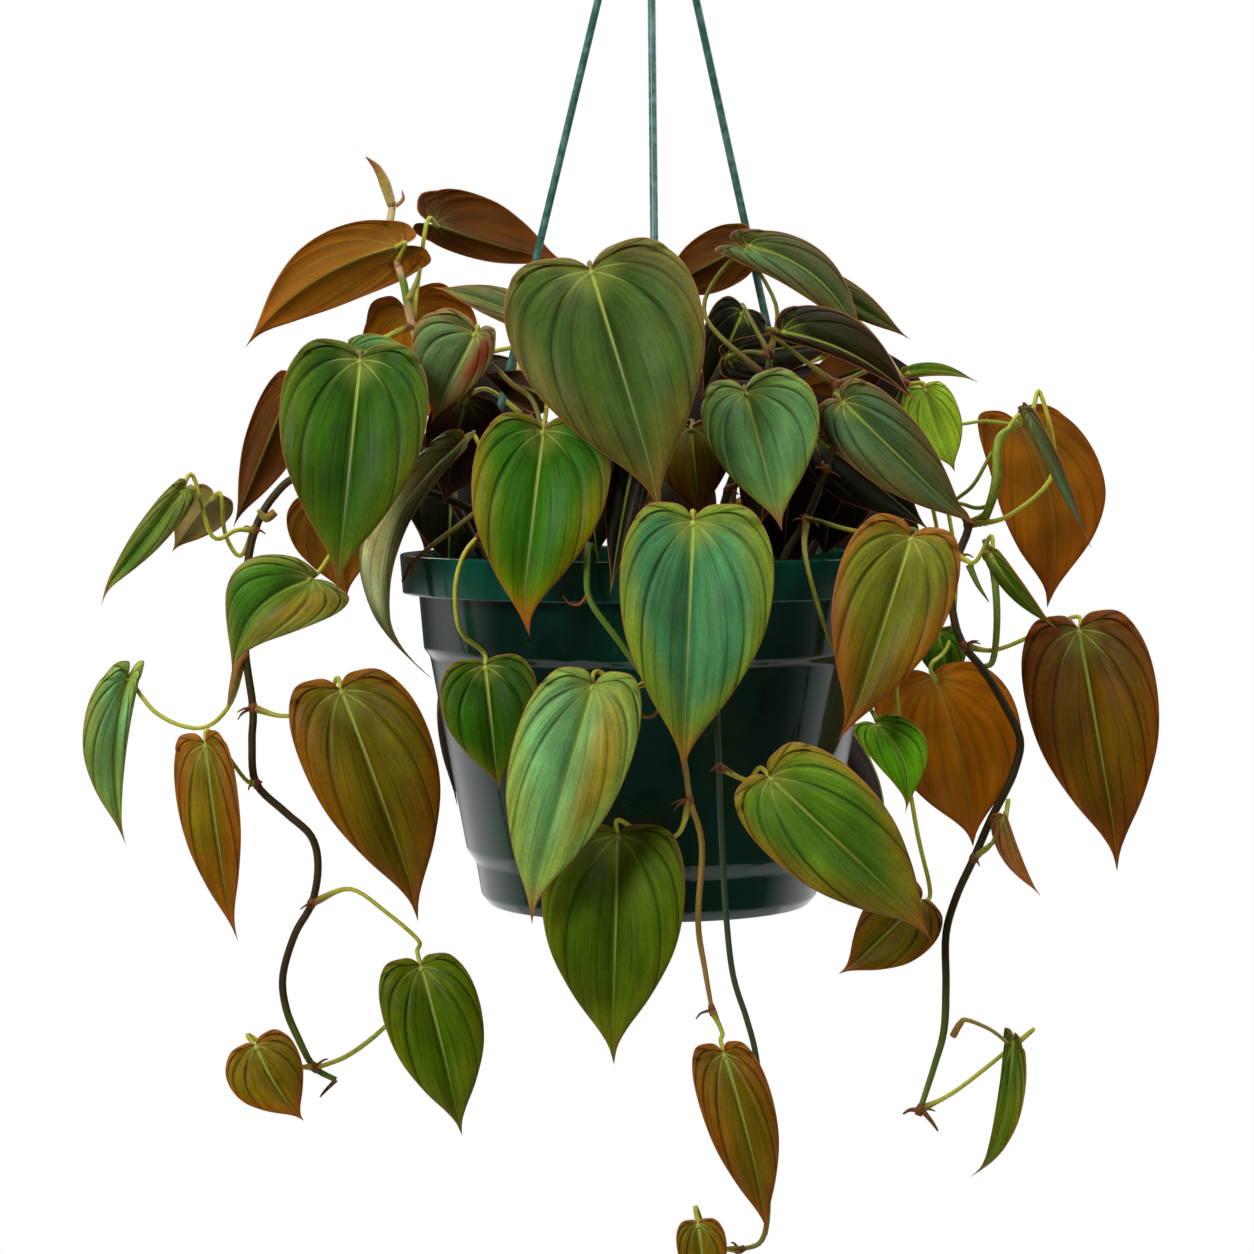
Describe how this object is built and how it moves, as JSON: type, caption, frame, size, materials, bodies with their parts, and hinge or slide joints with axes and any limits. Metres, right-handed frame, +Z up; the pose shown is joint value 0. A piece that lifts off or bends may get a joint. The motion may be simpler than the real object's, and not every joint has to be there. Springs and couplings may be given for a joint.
{
  "type": "hanging basket with trailing micans philodendron",
  "caption": "Trailing heart-leaf houseplant with velvety bronze and green leaves, growing in a plastic hanging basket on a three-strand hanger with a hook.",
  "frame": {"origin": "seat of the hook: the point of its inner crown that rests on whatever carries the basket", "axes": "+Z up, -Y towards the viewer (the front of the plant), +X to the viewer's right"},
  "size_m": [0.4255, 0.3084, 0.6635],
  "materials": {
    "pot_plastic": "glossy moulded plastic",
    "hanger_plastic": "glossy coated rod",
    "soil": "loose matte potting mix of bark and peat",
    "leaf": "velvety leaf with soft sheen"
  },
  "bodies": {
    "root": {"pot": "pot_plastic", "potting_soil": "soil", "hanger_hook": "hanger_plastic", "hanger_strand_front": "hanger_plastic", "hanger_strand_left": "hanger_plastic", "hanger_strand_right": "hanger_plastic", "vine_left": "leaf", "vine_right": "leaf", "vine_front": "leaf", "vine_middle": "leaf", "stem_front_left": "leaf", "stem_crown": "leaf", "stem_crown_right": "leaf", "stem_right": "leaf", "stem_far_right": "leaf", "stem_upper_left": "leaf", "stem_left": "leaf", "stem_back_right": "leaf", "stem_back": "leaf", "stem_back_left": "leaf", "vine_back_right": "leaf", "vine_back_left": "leaf"}
  },
  "joints": []
}
